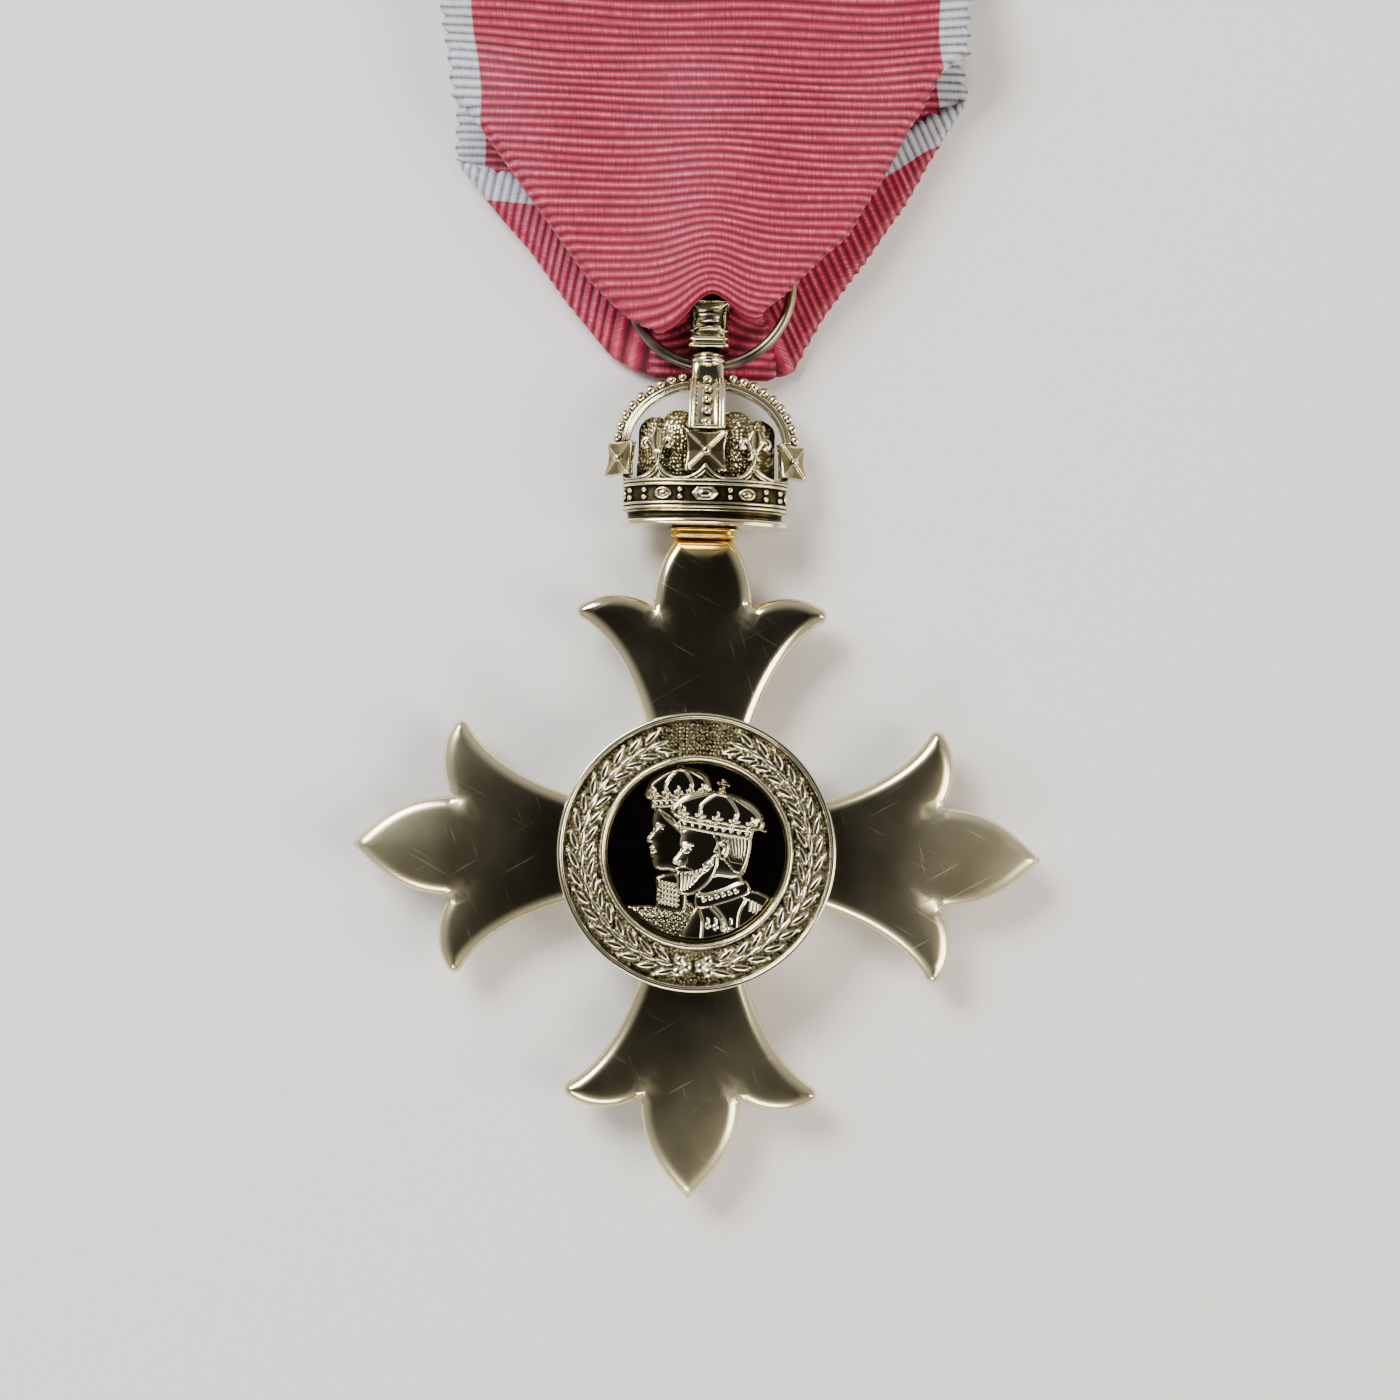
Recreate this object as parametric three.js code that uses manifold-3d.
// Badge of an order: a four-armed silver cross with a round medallion and a crown,
// hung by a wire ring from a folded ribbon that ends in a brooch bar.
// Millimetres. X to the right, Y towards the ribbon, Z up out of the front face.
// The badge lies on its back at z = 0 with the middle of the cross over the origin.

import * as THREE from 'three';
import { mergeVertices } from 'three/addons/utils/BufferGeometryUtils.js';
import Module from 'manifold-3d';

const wasm = await Module();
wasm.setup();

// Cross
const CROSS_SPAN = 50;          // tip to tip
const ARM_THICKNESS = 2.3;
const ARM_EDGE = 0.5;           // rounded edge of the arms
const ROOT_HALF = 3.7;          // half width where an arm leaves the medallion
const SIDE_PETAL_BACK = 7.8;    // side petal's tip, back from the arm's tip
const SIDE_PETAL_REACH = 9.1;   // and out from the arm's centre line
const NOTCH_BACK = 7.2;         // notch between side and centre petals
const NOTCH_OUT = 3.6;
const TOP_ARM_CUT = 2.2;        // what the neck takes off the top arm's tip

// Medallion, the same front and back
const MEDALLION_D = 20;
const MEDAL_THICKNESS = 6;
const RIM_WIDTH = 0.5;          // outer rim
const BAND_WIDTH = 2.5;         // ornament band inside it
const INNER_RIM = 0.45;
const BAND_SINK = 0.45;         // band floor below the rims
const DISC_SINK = 1.0;          // disc floor below the rims
const RELIEF = 0.45;            // height of the busts on the disc
const SEAT = 0.05;              // clearance between plates that lie on each other
const FIT = 0.1;                // clearance of a disc in its ring

// Neck and crown
const NECK_WIDTH = 4.9;
const NECK_HEIGHT = 0.75;
const CROWN_WIDTH = 12.3;       // base, left to right
const CROWN_DEPTH = 5.7;        // base, front to back
const BASE_HEIGHT = 1.4;
const CIRCLET_HEIGHT = 1.85;
const CIRCLET_WALL = 0.7;
const SCALLOP_RISE = 1.25;      // scalloped edge above the circlet
const CROWN_CROSS = 3.0;        // crosses that stand on the circlet
const CROSS_LIFT = 0.55;        // their lower edge above the circlet's moulding
const SIDE_CROSS = 2.55;        // the ones at the two sides are smaller
const SIDE_CROSS_PLATE = 1.3;
const CROWN_PLATE = 0.6;        // thickness of crosses and fleurs
const FLEUR_ANGLE = 34.7;       // fleurs' place round the circlet, degrees from the front
const FLEUR_HEIGHT = 2.4;
const ARCH_RISE = 5.65;         // arches above their springing
const ARCH_OUT = 0.85;          // side arches' outside beyond the base
const ARCH_BAND = 1.3;          // beads and inner band together
const ARCH_THICKNESS = 1.3;
const STRAP_WIDTH = 2.7;
const STRAP_THICKNESS = 0.75;
const MONDE_D = 2.7;
const MONDE_WALL = 0.35;        // metal left round the hole for the wire
const TOP_CROSS_WIDTH = 2.9;
const TOP_CROSS_HEIGHT = 3.35;

// Suspension ring
const RING_D = 12;              // to the middle of the wire
const RING_WIRE = 0.9;
const RING_PLAY = 0.06;         // clearance left round the curved wire in the monde

// Ribbon
const RIBBON_WIDTH = 38.6;
const RIBBON_SHIFT = -0.55;     // the ribbon lies a little to the left
const RIBBON_LAYER = 1.25;      // front layer with its turned-in edges
const RING_CLEAR = 0.3;         // each layer clear of the ring
const FLOOR_CLEAR = 0.1;
const RIBBON_TOP = 29;          // above the ring's centre
const BEND_HEIGHT = 18.4;       // where the ribbon bends, above the ring's centre
const BEND_GAP = 2.4;
const FOLD_WIDTH = 5.6;         // gathered width through the ring
const FOLD_HEIGHT = 1.4;

// Brooch
const BAR_LENGTH = 36;
const BAR_HEIGHT = 4.6;
const BAR_THICKNESS = 0.9;
const BAR_INSET = 1.6;          // below the ribbon's top edge
const PIN_WIRE = 0.8;
const PIN_SPAN = 28;            // hinge to catch
const RIVET_D = 0.6;
const PIN_PLAY = 0.08;          // of the rivet in its holes
const LUG_WALL = 0.6;
const LUG_LENGTH = 2.4;

// Places worked out from the sizes
const MID = MEDAL_THICKNESS / 2;
const ARM = CROSS_SPAN / 2;
const MEDALLION_R = MEDALLION_D / 2;
const ARM_TOP = MID + ARM_THICKNESS / 2;
const DISC_R = MEDALLION_R - RIM_WIDTH - BAND_WIDTH - INNER_RIM;
const NECK_Y = ARM - TOP_ARM_CUT + SEAT;
const BASE_Y = NECK_Y + NECK_HEIGHT + SEAT;
const CIRCLET_Y = BASE_Y + BASE_HEIGHT + SEAT;
const SCALLOP_Y = CIRCLET_Y + CIRCLET_HEIGHT;
const PEAK_Y = SCALLOP_Y + SCALLOP_RISE;
const CROSS_Y = SCALLOP_Y + CROSS_LIFT + CROWN_CROSS / 2;
const ARCH_Y = CROSS_Y + 0.7;
const CROWN_A = CROWN_WIDTH / 2;
const CROWN_B = CROWN_DEPTH / 2;
const FLEUR_OUT = CROWN_A * Math.sin(FLEUR_ANGLE * Math.PI / 180);
const ARCH_HALF = CROWN_A + ARCH_OUT;
const HOLE_Y = ARCH_Y + ARCH_RISE + 0.25;
const MONDE_HALF = MONDE_D * 0.3;
const MONDE_Y = HOLE_Y + 0.35;
const TOP_CROSS_Y = MONDE_Y + MONDE_HALF + SEAT;
const RING_R = RING_D / 2;
const RING_Y = HOLE_Y + RING_R;
const FRONT_Z = MID + RING_WIRE / 2 + RING_CLEAR;
const BACK_Z = MID - RING_WIRE / 2 - RING_CLEAR;
const TOP_Y = RING_Y + RIBBON_TOP;
const BEND_Y = RING_Y + BEND_HEIGHT;

const silver = new THREE.MeshStandardMaterial({ color: 0xb9b49a, metalness: 1, roughness: 0.18 });
const relief = new THREE.MeshStandardMaterial({ color: 0xa8a284, metalness: 1, roughness: 0.3 });
const gilt = new THREE.MeshStandardMaterial({ color: 0xd8b650, metalness: 1, roughness: 0.25 });
const wire = new THREE.MeshStandardMaterial({ color: 0x6a6356, metalness: 1, roughness: 0.3 });
const steel = new THREE.MeshStandardMaterial({ color: 0xa9adb0, metalness: 1, roughness: 0.35 });
const silk = new THREE.MeshStandardMaterial({ color: 0xb83a56, metalness: 0, roughness: 0.75 });

const medal = new THREE.Group();

function add(name, geometry, material, x = 0, y = 0, z = 0) {
  const mesh = new THREE.Mesh(geometry, material);
  mesh.name = name;
  mesh.position.set(x, y, z);
  medal.add(mesh);
  return mesh;
}

function toSolid(geometry) {
  const bare = geometry.clone();
  bare.deleteAttribute('normal');
  bare.deleteAttribute('uv');
  const merged = mergeVertices(bare, 1e-5);
  return new wasm.Manifold(new wasm.Mesh({
    numProp: 3,
    vertProperties: new Float32Array(merged.attributes.position.array),
    triVerts: new Uint32Array(merged.index.array),
  }));
}

function toGeometry(solid) {
  const mesh = solid.getMesh();
  const geometry = new THREE.BufferGeometry();
  geometry.setAttribute('position', new THREE.BufferAttribute(mesh.vertProperties, 3));
  geometry.setIndex(new THREE.BufferAttribute(mesh.triVerts, 1));
  geometry.computeVertexNormals();
  return geometry;
}

function join(...geometries) {
  return toGeometry(geometries.map(toSolid).reduce((all, one) => all.add(one)));
}

function cut(body, ...tools) {
  return toGeometry(tools.map(toSolid).reduce((left, tool) => left.subtract(tool), toSolid(body)));
}

function plate(shape, thickness, bevel = 0, curveSegments = 6) {
  return new THREE.ExtrudeGeometry(shape, {
    depth: thickness - 2 * bevel,
    bevelEnabled: bevel > 0,
    bevelSize: bevel,
    bevelThickness: bevel,
    bevelOffset: -bevel,
    bevelSegments: 1,
    curveSegments,
  }).translate(0, 0, bevel);
}

function box(width, height, depth, x, y, z) {
  return new THREE.BoxGeometry(width, height, depth).translate(x, y, z);
}

function rod(radius, length, sides, along) {
  const geometry = new THREE.CylinderGeometry(radius, radius, length, sides);
  if (along === 'x') geometry.rotateZ(Math.PI / 2);
  if (along === 'z') geometry.rotateX(Math.PI / 2);
  return geometry;
}

function polygon(points) {
  return new THREE.Shape(points.map(([x, y]) => new THREE.Vector2(x, y)));
}

// ---- Cross: one struck plate, four arms round a web that carries the medallions ----

function armHalf() {
  const webR = MEDALLION_R - RIM_WIDTH;
  const rootU = Math.sqrt(webR * webR - ROOT_HALF * ROOT_HALF);
  const tip = new THREE.Vector2(ARM - SIDE_PETAL_BACK, SIDE_PETAL_REACH);
  const notch = new THREE.Vector2(ARM - NOTCH_BACK, NOTCH_OUT);
  const inner = new THREE.CubicBezierCurve(
    new THREE.Vector2(rootU, ROOT_HALF), new THREE.Vector2(rootU + 3.2, ROOT_HALF + 1.0),
    new THREE.Vector2(tip.x - 1.7, tip.y - 2.7), tip);
  const outer = new THREE.CubicBezierCurve(
    tip, new THREE.Vector2(tip.x + 1.5, tip.y - 1.5),
    new THREE.Vector2(notch.x + 0.95, notch.y + 1.4), notch);
  const centre = new THREE.CubicBezierCurve(
    notch, new THREE.Vector2(notch.x + 2.8, notch.y),
    new THREE.Vector2(ARM - 2.4, 2.6), new THREE.Vector2(ARM, 0));
  return [...inner.getPoints(5), ...outer.getPoints(4).slice(1), ...centre.getPoints(5).slice(1)];
}

function crossOutline() {
  const half = armHalf();
  const arm = [...half.map((p) => p.clone()).reverse().map((p) => new THREE.Vector2(p.x, -p.y)).reverse(),
    ...half.slice(0, -1).reverse()];
  const webR = MEDALLION_R - RIM_WIDTH;
  const rootAngle = Math.asin(ROOT_HALF / webR);
  const points = [];
  for (let k = 0; k < 4; k += 1) {
    const turn = k * Math.PI / 2;
    for (const p of arm) points.push(p.clone().rotateAround(new THREE.Vector2(), turn));
    const gap = Math.PI / 2 - 2 * rootAngle;
    for (let i = 1; i < 4; i += 1) {
      const a = turn + rootAngle + gap * i / 4;
      points.push(new THREE.Vector2(webR * Math.cos(a), webR * Math.sin(a)));
    }
  }
  return new THREE.Shape(points);
}

const crossPlate = plate(crossOutline(), ARM_THICKNESS, ARM_EDGE).translate(0, 0, ARM_TOP - ARM_THICKNESS);
const topCut = box(NECK_WIDTH * 2, TOP_ARM_CUT * 2, MEDAL_THICKNESS * 2, 0, ARM, MID);
add('cross_body', cut(crossPlate, topCut), silver);

// ---- Medallion: a ring and a struck disc on each face of the web ----

function medallionRing(height) {
  const inner = DISC_R;
  const bandIn = DISC_R + INNER_RIM;
  const bandOut = MEDALLION_R - RIM_WIDTH;
  const profile = [
    [inner, 0], [MEDALLION_R, 0], [MEDALLION_R, height], [bandOut, height], [bandOut, height - BAND_SINK],
    [bandIn, height - BAND_SINK], [bandIn, height], [inner, height], [inner, 0],
  ].map(([r, h]) => new THREE.Vector2(r, h));
  return new THREE.LatheGeometry(profile, 40).rotateX(Math.PI / 2);
}

const ringHeight = MEDAL_THICKNESS - ARM_TOP - SEAT;
const discHeight = ringHeight - DISC_SINK;

function bust(x, headY, headR, tilt) {
  const head = plate(new THREE.Shape().absellipse(0, 0, headR * 0.85, headR, 0, Math.PI * 2), RELIEF);
  const crownCap = plate(polygon([[-headR, headR * 0.55], [headR, headR * 0.55],
    [headR * 1.15, headR * 1.75], [0, headR * 2.05], [-headR * 1.15, headR * 1.75]]), RELIEF);
  const neck = plate(polygon([[-headR * 0.4, -headR * 2.1], [headR * 0.75, -headR * 2.1],
    [headR * 0.75, -headR * 0.3], [-headR * 0.4, -headR * 0.3]]), RELIEF);
  return join(head, crownCap, neck).rotateZ(tilt).translate(x, headY, discHeight - SEAT);
}

function shoulders() {
  const shape = new THREE.Shape();
  const edge = DISC_R - 0.6;
  shape.absarc(0, 0, edge, Math.PI * 1.17, Math.PI * 1.93);
  shape.lineTo(1.2, -1.6);
  shape.closePath();
  return plate(shape, RELIEF, 0, 10).translate(0, 0, discHeight - SEAT);
}

const blankDisc = rod(DISC_R - FIT, discHeight, 40, 'z').translate(0, 0, discHeight / 2);
const frontDisc = join(blankDisc, bust(1.6, 0.2, 1.75, -0.1), bust(-1.5, 0.4, 1.5, 0.05), shoulders());
add('obverse_ring', medallionRing(ringHeight), relief, 0, 0, ARM_TOP + SEAT);
add('obverse_medallion', frontDisc, relief, 0, 0, ARM_TOP + SEAT);
add('reverse_ring', medallionRing(ringHeight).rotateX(Math.PI), relief, 0, 0, ringHeight);
add('reverse_medallion', rod(DISC_R - FIT, ringHeight, 40, 'z'), relief, 0, 0, ringHeight / 2);

// ---- Neck: gilt collar brazed between the top arm and the crown ----

const neckBottom = NECK_WIDTH / 2 - 0.45;
const neckShape = polygon([[-neckBottom, 0], [neckBottom, 0], [NECK_WIDTH / 2, NECK_HEIGHT],
  [-NECK_WIDTH / 2, NECK_HEIGHT]]);
add('neck_collar', plate(neckShape, ARM_THICKNESS + 0.3), gilt, 0, NECK_Y, MID - ARM_THICKNESS / 2 - 0.15);

// ---- Crown ----

function oval(profile, segments = 32) {
  const points = profile.map(([r, y]) => new THREE.Vector2(r, y));
  return new THREE.LatheGeometry(points, segments).scale(1, 1, CROWN_B / CROWN_A);
}

const baseProfile = [[0, 0], [CROWN_A, 0], [CROWN_A, 0.4], [CROWN_A - 0.35, 0.7],
  [CROWN_A - 0.35, BASE_HEIGHT - 0.5], [CROWN_A - 0.1, BASE_HEIGHT - 0.25],
  [CROWN_A - 0.1, BASE_HEIGHT], [0, BASE_HEIGHT]];
add('crown_base', oval(baseProfile), relief, 0, BASE_Y, MID);

const bandR = CROWN_A - 0.3;
const circletProfile = [[bandR - CIRCLET_WALL, 0], [bandR, 0], [bandR + 0.1, CIRCLET_HEIGHT - 0.5],
  [bandR + 0.3, CIRCLET_HEIGHT - 0.4], [bandR + 0.3, CIRCLET_HEIGHT], [bandR + 0.15, CIRCLET_HEIGHT + 0.1],
  [bandR + 0.15, CIRCLET_HEIGHT + SCALLOP_RISE], [bandR - CIRCLET_WALL, CIRCLET_HEIGHT + SCALLOP_RISE],
  [bandR - CIRCLET_WALL, 0]];
const scallopR = FLEUR_OUT / 2 - 0.2;
const scallops = [-1.5, -0.5, 0.5, 1.5].map((k) =>
  rod(scallopR, CROWN_DEPTH * 2, 16, 'z').translate(k * FLEUR_OUT * 0.96, CIRCLET_HEIGHT + scallopR + 0.15, 0));
const crossFoot = CIRCLET_HEIGHT + 0.15;
const crossSeats = [0, -CROWN_A, CROWN_A].map((x) =>
  box(CROWN_CROSS + 0.4, SCALLOP_RISE * 2, CROWN_DEPTH * 2, x, crossFoot + SCALLOP_RISE, 0));
add('crown_circlet', cut(oval(circletProfile), ...scallops, ...crossSeats), relief, 0, CIRCLET_Y, MID);

function lobe(x, top, halfWidth) {
  const height = (top - CIRCLET_Y) / 2;
  return new THREE.SphereGeometry(1, 12, 8).scale(halfWidth, height, CROWN_B * 0.58)
    .translate(x, CIRCLET_Y + height, MID);
}

const capFoot = bandR - CIRCLET_WALL - 0.5;
const capBody = new THREE.LatheGeometry([[0, 0.2], [capFoot, 0.2], [capFoot, 3.4], [capFoot - 1.2, 4.8],
  [0, 5.4]].map(([r, y]) => new THREE.Vector2(r, y)), 20)
  .scale(1, 1, CROWN_B * 0.55 / capFoot).translate(0, CIRCLET_Y, MID);
const capTop = ARCH_Y + ARCH_RISE - 2.95;
const LOBE = 1.75;
const outerLobe = bandR - CIRCLET_WALL - FIT - LOBE;
const innerLobe = outerLobe - 0.9 * LOBE;
add('crown_cap', join(capBody, lobe(-outerLobe, capTop - 0.5, LOBE), lobe(-innerLobe, capTop, 0.9 * LOBE),
  lobe(innerLobe, capTop - 0.1, 0.9 * LOBE), lobe(outerLobe, capTop - 0.5, LOBE)), relief);

function crossPattee(size, thickness) {
  const h = size / 2;
  const waist = size * 0.09;
  const points = [];
  for (let k = 0; k < 4; k += 1) {
    for (const [x, y] of [[waist, waist], [h * 0.92, h], [-h * 0.92, h]]) {
      points.push(new THREE.Vector2(x, y).rotateAround(new THREE.Vector2(), k * Math.PI / 2));
    }
  }
  return plate(new THREE.Shape(points), thickness).translate(0, 0, -thickness / 2);
}

const frontCrossZ = MID + CROWN_B + 0.1 - CROWN_PLATE / 2;
const backCrossZ = MID - CROWN_B - 0.1 + CROWN_PLATE / 2;
const sideCrossX = CROWN_A + 0.25;
const sideCrossY = SCALLOP_Y + 0.3 + SIDE_CROSS / 2;
const sideCrossTop = sideCrossY + SIDE_CROSS / 2;
add('cross_front', crossPattee(CROWN_CROSS, CROWN_PLATE), relief, 0, CROSS_Y, frontCrossZ);
add('cross_back', crossPattee(CROWN_CROSS, CROWN_PLATE), relief, 0, CROSS_Y, backCrossZ);
const sideCross = crossPattee(SIDE_CROSS, SIDE_CROSS_PLATE).rotateY(Math.PI / 2);
add('cross_left', sideCross, relief, -sideCrossX, sideCrossY, MID);
add('cross_right', sideCross.clone(), relief, sideCrossX, sideCrossY, MID);

function fleur() {
  const h = FLEUR_HEIGHT;
  const half = [[0.28, 0], [0.35, h * 0.22], [0.9, h * 0.3], [1.05, h * 0.55], [0.72, h * 0.66],
    [0.45, h * 0.5], [0.42, h * 0.75], [0, h]];
  const left = half.slice(0, -1).reverse().map(([x, y]) => [-x, y]);
  return plate(polygon([...half, ...left]), CROWN_PLATE).translate(0, 0, -CROWN_PLATE / 2);
}

const fleurZ = (CROWN_B - 0.1) * Math.sqrt(1 - (FLEUR_OUT / CROWN_A) ** 2);
const fleurTurn = Math.atan2(FLEUR_OUT * CROWN_B, CROWN_A * CROWN_A) * 0.9;
for (const [front, frontSign] of [['front', 1], ['back', -1]]) {
  for (const [side, sideSign] of [['left', -1], ['right', 1]]) {
    const mesh = add(`fleur_${front}_${side}`, fleur(), relief,
      sideSign * FLEUR_OUT, PEAK_Y + 0.3, MID + frontSign * fleurZ);
    mesh.rotation.y = frontSign * sideSign * fleurTurn;
  }
}

function archOutline(sign) {
  const clearOfMonde = STRAP_WIDTH / 2 + FIT;
  const outer = [ARCH_HALF, ARCH_RISE];
  const inner = [ARCH_HALF - ARCH_BAND, ARCH_RISE - ARCH_BAND];
  const steps = 10;
  const points = [];
  for (const [[a, b], forward] of [[outer, true], [inner, false]]) {
    const last = Math.acos(clearOfMonde / a);
    const first = Math.asin((sideCrossTop + 0.3 - ARCH_Y) / (ARCH_RISE - ARCH_BAND));
    for (let i = 0; i <= steps; i += 1) {
      const t = first + (last - first) * (forward ? i : steps - i) / steps;
      points.push([sign * a * Math.cos(t), b * Math.sin(t)]);
    }
  }
  return polygon(sign > 0 ? points : points.reverse());
}

for (const [side, sign] of [['left', -1], ['right', 1]]) {
  add(`arch_${side}`, plate(archOutline(sign), ARCH_THICKNESS), relief,
    0, ARCH_Y, MID - ARCH_THICKNESS / 2);
}

const wireRise = RING_R - Math.sqrt(RING_R * RING_R - MONDE_D * MONDE_D / 4);
const holeR = RING_WIRE / 2 + wireRise + RING_PLAY;
const mondeHalf = holeR + MONDE_WALL;

function strap() {
  const outer = [CROWN_B + 0.05, ARCH_RISE - 0.2];
  const inner = [CROWN_B + 0.05 - STRAP_THICKNESS, ARCH_RISE - 0.2 - STRAP_THICKNESS];
  const foot = CROSS_Y + CROWN_CROSS / 2 + 0.3 - ARCH_Y;
  const steps = 6;
  const points = [];
  for (const [[a, b], forward] of [[outer, true], [inner, false]]) {
    const first = Math.asin(foot / b);
    const last = Math.acos((mondeHalf + 2 * FIT) / a);
    for (let i = 0; i <= steps; i += 1) {
      const t = first + (last - first) * (forward ? i : steps - i) / steps;
      points.push([a * Math.cos(t), b * Math.sin(t)]);
    }
  }
  return plate(polygon(points), STRAP_WIDTH).rotateY(-Math.PI / 2).translate(STRAP_WIDTH / 2, 0, 0);
}

add('strap_front', strap(), relief, 0, ARCH_Y, MID);
add('strap_back', strap().rotateY(Math.PI), relief, 0, ARCH_Y, MID);

const wireHole = rod(holeR, MONDE_D * 3, 24, 'x').translate(0, HOLE_Y, MID);
const mondeBall = new THREE.SphereGeometry(MONDE_D / 2, 20, 12).scale(1, 2 * MONDE_HALF / MONDE_D, 1)
  .translate(0, MONDE_Y, MID);
const footDepth = holeR + 1.3;
const mondeFoot = box(STRAP_WIDTH - 0.1, footDepth + 0.4, 2 * mondeHalf, 0, HOLE_Y - footDepth / 2 + 0.2, MID);
add('monde', cut(join(mondeBall, mondeFoot), wireHole), relief);

const topCross = join(crossPattee(TOP_CROSS_HEIGHT, TOP_CROSS_WIDTH).scale(0.9, 1, 1),
  box(TOP_CROSS_WIDTH * 0.84, TOP_CROSS_HEIGHT, TOP_CROSS_WIDTH * 0.8, 0, 0, 0));
add('top_cross', topCross, relief, 0, TOP_CROSS_Y + TOP_CROSS_HEIGHT / 2, MID);

// ---- Suspension ring: round wire through the monde ----

add('suspension_ring', new THREE.TorusGeometry(RING_R, RING_WIRE / 2, 12, 48), wire, 0, RING_Y, MID);

// ---- Ribbon: one strip folded through the ring; front layer, fold and back layer ----

const half = RIBBON_WIDTH / 2;
const left = RIBBON_SHIFT - half;
const right = RIBBON_SHIFT + half;
const notchHalf = TOP_CROSS_WIDTH / 2 + 0.35;
const notchTop = TOP_CROSS_Y + TOP_CROSS_HEIGHT + 0.35;
const lowerTop = BEND_Y - BEND_GAP / 2;
const upperBottom = BEND_Y + BEND_GAP / 2;

const frontLower = polygon([
  [left + 0.9, lowerTop], [left + 1.0, RING_Y + 13.4], [left + 2.9, RING_Y + 11.9], [-8.1, RING_Y - 0.3],
  [-5.0, RING_Y - 3.2], [-3.0, RING_Y - 4.0], [-notchHalf, RING_Y - 3.7], [-notchHalf, notchTop],
  [notchHalf, notchTop], [notchHalf, RING_Y - 3.0], [3.2, RING_Y - 2.8], [5.3, RING_Y - 1.0],
  [9.5, RING_Y + 3.4], [13.7, RING_Y + 11.7], [right - 2.2, RING_Y + 16.2], [right - 0.6, lowerTop]]);
add('ribbon_front_lower', plate(frontLower, RIBBON_LAYER), silk, 0, 0, FRONT_Z);

const backLower = polygon([
  [left + 0.4, lowerTop], [left + 0.6, RING_Y + 10.3], [-12.6, RING_Y + 2.6], [-8.0, RING_Y - 3.2],
  [-5.6, RING_Y - 4.9], [-notchHalf, RING_Y - 5.0], [-notchHalf, notchTop], [notchHalf, notchTop],
  [notchHalf, RING_Y - 5.0], [5.6, RING_Y - 4.9], [8.1, RING_Y - 1.7], [13.8, RING_Y + 6.5],
  [right - 0.1, RING_Y + 15.4], [right, lowerTop]]);
add('ribbon_back_lower', plate(backLower, BACK_Z - FLOOR_CLEAR), silk, 0, 0, FLOOR_CLEAR);

const foldHeight = FRONT_Z - BACK_Z - 2 * SEAT;
add('ribbon_fold', box(FOLD_WIDTH, FOLD_HEIGHT, foldHeight, 0, notchTop + FOLD_HEIGHT / 2 + SEAT, MID), silk);

const barY = TOP_Y - BAR_INSET - BAR_HEIGHT / 2;
const barBottom = FLOOR_CLEAR + PIN_WIRE + 0.7;
const barTop = barBottom + BAR_THICKNESS;
const barX = RIBBON_SHIFT - 0.35;
add('ribbon_front_upper', box(RIBBON_WIDTH, TOP_Y - upperBottom, RIBBON_LAYER,
  barX, (TOP_Y + upperBottom) / 2, FRONT_Z + RIBBON_LAYER / 2), silk);
const backUpperTop = barY - BAR_HEIGHT / 2 - RING_CLEAR;
add('ribbon_back_upper', box(RIBBON_WIDTH, backUpperTop - upperBottom, BACK_Z - FLOOR_CLEAR,
  barX, (backUpperTop + upperBottom) / 2, (BACK_Z + FLOOR_CLEAR) / 2), silk);

// ---- Brooch: bar sewn behind the ribbon's top, with a hinged pin and its catch ----

add('brooch_bar', box(BAR_LENGTH, BAR_HEIGHT, BAR_THICKNESS, barX, barY, barBottom + BAR_THICKNESS / 2), steel);
const hemHeight = FRONT_Z - barTop - 2 * SEAT;
add('ribbon_hem', box(BAR_LENGTH + 1, BAR_HEIGHT + 0.6, hemHeight, barX, barY, barTop + SEAT + hemHeight / 2), silk);

const pinZ = FLOOR_CLEAR + 0.25 + PIN_WIRE / 2;
const hingeX = barX - PIN_SPAN / 2;
const catchX = barX + PIN_SPAN / 2;
const lugHeight = barBottom - SEAT - FLOOR_CLEAR;
const lugGap = PIN_WIRE + 2 * FIT;
const lugs = [-1, 1].map((s) =>
  box(LUG_LENGTH, LUG_WALL, lugHeight, 0, s * (lugGap + LUG_WALL) / 2, lugHeight / 2));
const lugBridge = box(LUG_LENGTH, lugGap + 2 * LUG_WALL, 0.2, 0, 0, lugHeight - 0.1);
const rivetHole = rod(RIVET_D / 2 + PIN_PLAY, 6, 16, 'y').translate(0, 0, pinZ - FLOOR_CLEAR);
add('pin_bracket', cut(join(...lugs, lugBridge), rivetHole), steel, hingeX, barY, FLOOR_CLEAR);
add('hinge_rivet', rod(RIVET_D / 2, lugGap + 2 * LUG_WALL, 16, 'y'), steel, hingeX, barY, pinZ);

const catchWalls = [-1, 1].map((s) =>
  box(LUG_LENGTH, LUG_WALL, lugHeight, 0, s * (lugGap + LUG_WALL) / 2, lugHeight / 2));
add('pin_catch', join(...catchWalls, lugBridge.clone()), steel, catchX, barY, FLOOR_CLEAR);

const pinEye = cut(rod(PIN_WIRE / 2 + 0.1, PIN_WIRE, 20, 'y'), rod(RIVET_D / 2 + PIN_PLAY, 6, 16, 'y'));
const pinShank = rod(PIN_WIRE * 0.35, PIN_SPAN - 1.0, 10, 'x').translate(PIN_SPAN / 2 - 0.05, 0, 0);
const pinPoint = new THREE.ConeGeometry(PIN_WIRE * 0.35, 2.2, 10).rotateZ(-Math.PI / 2)
  .translate(PIN_SPAN + 0.55, 0, 0);
add('brooch_pin', join(pinEye, pinShank, pinPoint), steel, hingeX, barY, pinZ);

export default medal;
